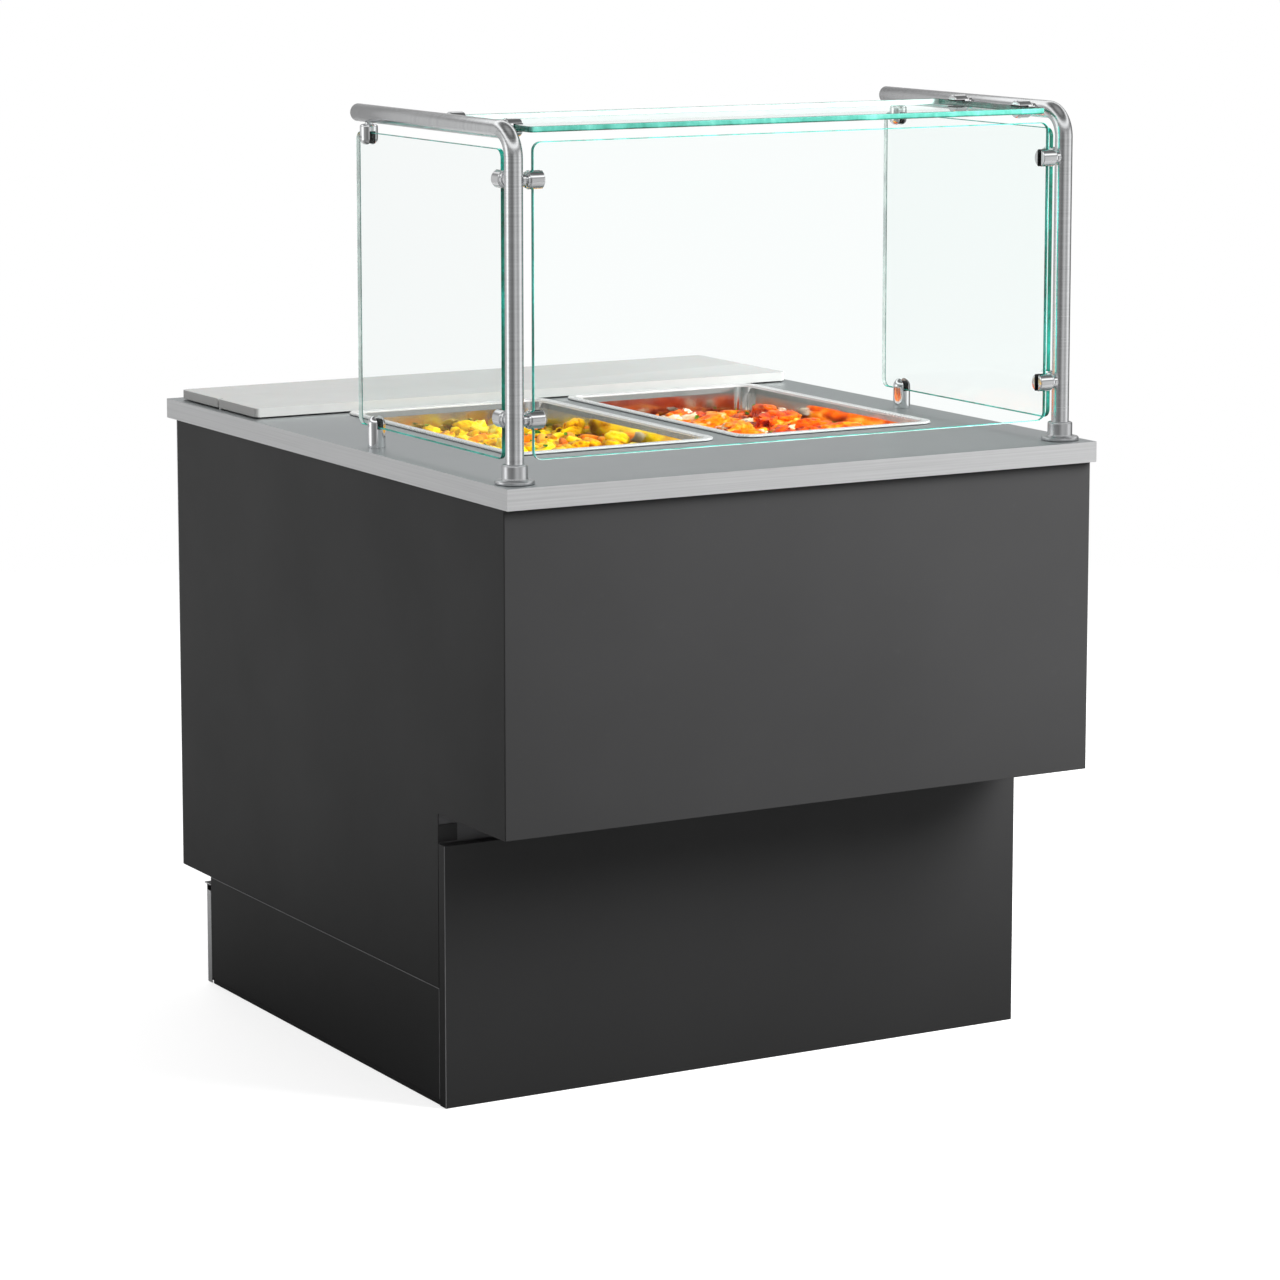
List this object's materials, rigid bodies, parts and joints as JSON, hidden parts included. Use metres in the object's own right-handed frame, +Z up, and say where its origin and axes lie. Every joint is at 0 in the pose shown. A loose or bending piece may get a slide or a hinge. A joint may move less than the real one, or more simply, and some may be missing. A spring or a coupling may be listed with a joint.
{
  "type": "hot food display case",
  "caption": "Heated two-well food counter with overhanging sheet-metal cabinet, stainless worktop, cutting board, lift-out pans and a square four-panel glass sneeze guard.",
  "frame": {"origin": "under the middle of the case, on the floor", "axes": "+Z up, +X to the right as a customer faces the case, -Y towards the customer, +Y towards the operator"},
  "size_m": [0.9144, 1.0668, 1.3202],
  "materials": {
    "black_sheet": "fine-textured charcoal powder coat, satin",
    "brushed_steel": "brushed stainless steel",
    "satin_worktop": "satin brushed stainless steel worktop",
    "pan_steel": "bright drawn stainless steel",
    "polished_clamps": "polished stainless steel",
    "glass": "clear tempered float glass with green polished edges",
    "white_board": "white polyethylene, lightly scored",
    "black_plastic": "moulded phenolic, matte",
    "red_plastic": "moulded red plastic, gloss",
    "element_sheath": "dark oxidised steel sheath",
    "brass": "plain drawn brass",
    "yellow_food": "moist pasta and vegetables",
    "orange_food": "moist sauced chicken pieces"
  },
  "bodies": {
    "case": {"base_frame": "black_sheet", "cabinet_deck": "black_sheet", "clamp_front_lower_left": "polished_clamps", "clamp_front_lower_right": "polished_clamps", "clamp_front_upper_left": "polished_clamps", "clamp_front_upper_right": "polished_clamps", "clamp_side_lower_left": "polished_clamps", "clamp_side_lower_right": "polished_clamps", "clamp_side_upper_left": "polished_clamps", "clamp_side_upper_right": "polished_clamps", "clamp_top_front_left": "polished_clamps", "clamp_top_front_right": "polished_clamps", "clamp_top_rear_left": "polished_clamps", "clamp_top_rear_right": "polished_clamps", "control_panel": "brushed_steel", "countertop": "satin_worktop", "door_hinge_left": "brushed_steel", "door_hinge_right": "brushed_steel", "drain_manifold": "brass", "front_panel_lower": "black_sheet", "front_panel_upper": "black_sheet", "glass_front": "glass", "glass_side_left": "glass", "glass_side_right": "glass", "glass_top": "glass", "hanger_rear_left": "polished_clamps", "hanger_rear_right": "polished_clamps", "heating_element_left": "element_sheath", "heating_element_right": "element_sheath", "indicator_lamp": "red_plastic", "inner_front_wall": "brushed_steel", "kick_panel_left": "black_sheet", "kick_panel_rear": "brushed_steel", "kick_panel_right": "black_sheet", "overhang_soffit": "black_sheet", "post_flange_left": "brushed_steel", "post_flange_right": "brushed_steel", "post_left": "brushed_steel", "post_right": "brushed_steel", "power_gland": "black_plastic", "rear_frame": "brushed_steel", "side_panel_left": "black_sheet", "side_panel_right": "black_sheet", "standoff_left": "polished_clamps", "standoff_right": "polished_clamps", "well_left": "brushed_steel", "well_right": "brushed_steel"},
    "left_pan": {"pan_left": "pan_steel", "food_left": "yellow_food"},
    "right_pan": {"pan_right": "pan_steel", "food_right": "orange_food"},
    "board": {"cutting_board": "white_board"},
    "left_door": {"door_left": "brushed_steel", "door_pull_left": "polished_clamps"},
    "right_door": {"door_right": "brushed_steel", "door_pull_right": "polished_clamps"},
    "left_knob": {"thermostat_knob_left": "black_plastic"},
    "right_knob": {"thermostat_knob_right": "black_plastic"},
    "switch": {"power_switch": "red_plastic"},
    "drain_handle": {"drain_lever": "red_plastic"}
  },
  "joints": [
    {"name": "left_pan_lift", "type": "slide", "parent": "case", "child": "left_pan", "axis": [0, 0, 1], "range_m": [0, 0.25]},
    {"name": "right_pan_lift", "type": "slide", "parent": "case", "child": "right_pan", "axis": [0, 0, 1], "range_m": [0, 0.25]},
    {"name": "board_lift", "type": "slide", "parent": "case", "child": "board", "axis": [0, 0, 1], "range_m": [0, 0.2]},
    {"name": "left_door_hinge", "type": "hinge", "parent": "case", "child": "left_door", "pos_m": [-0.4432, 0.5221, 0.433], "axis": [0, 0, 1], "range_deg": [0, 110]},
    {"name": "right_door_hinge", "type": "hinge", "parent": "case", "child": "right_door", "pos_m": [0.4432, 0.5221, 0.433], "axis": [0, 0, -1], "range_deg": [0, 110]},
    {"name": "left_knob_turn", "type": "hinge", "parent": "case", "child": "left_knob", "pos_m": [-0.0272, 0.5166, 0.762], "axis": [0, -1, 0], "range_deg": [0, 270]},
    {"name": "right_knob_turn", "type": "hinge", "parent": "case", "child": "right_knob", "pos_m": [0.1028, 0.5166, 0.762], "axis": [0, -1, 0], "range_deg": [0, 270]},
    {"name": "switch_rock", "type": "hinge", "parent": "case", "child": "switch", "pos_m": [-0.1572, 0.4966, 0.762], "axis": [1, 0, 0], "range_deg": [0, 16]},
    {"name": "drain_handle_turn", "type": "hinge", "parent": "case", "child": "drain_handle", "pos_m": [0, 0.4166, 0.672], "axis": [0, 0, -1], "range_deg": [0, 90]}
  ]
}
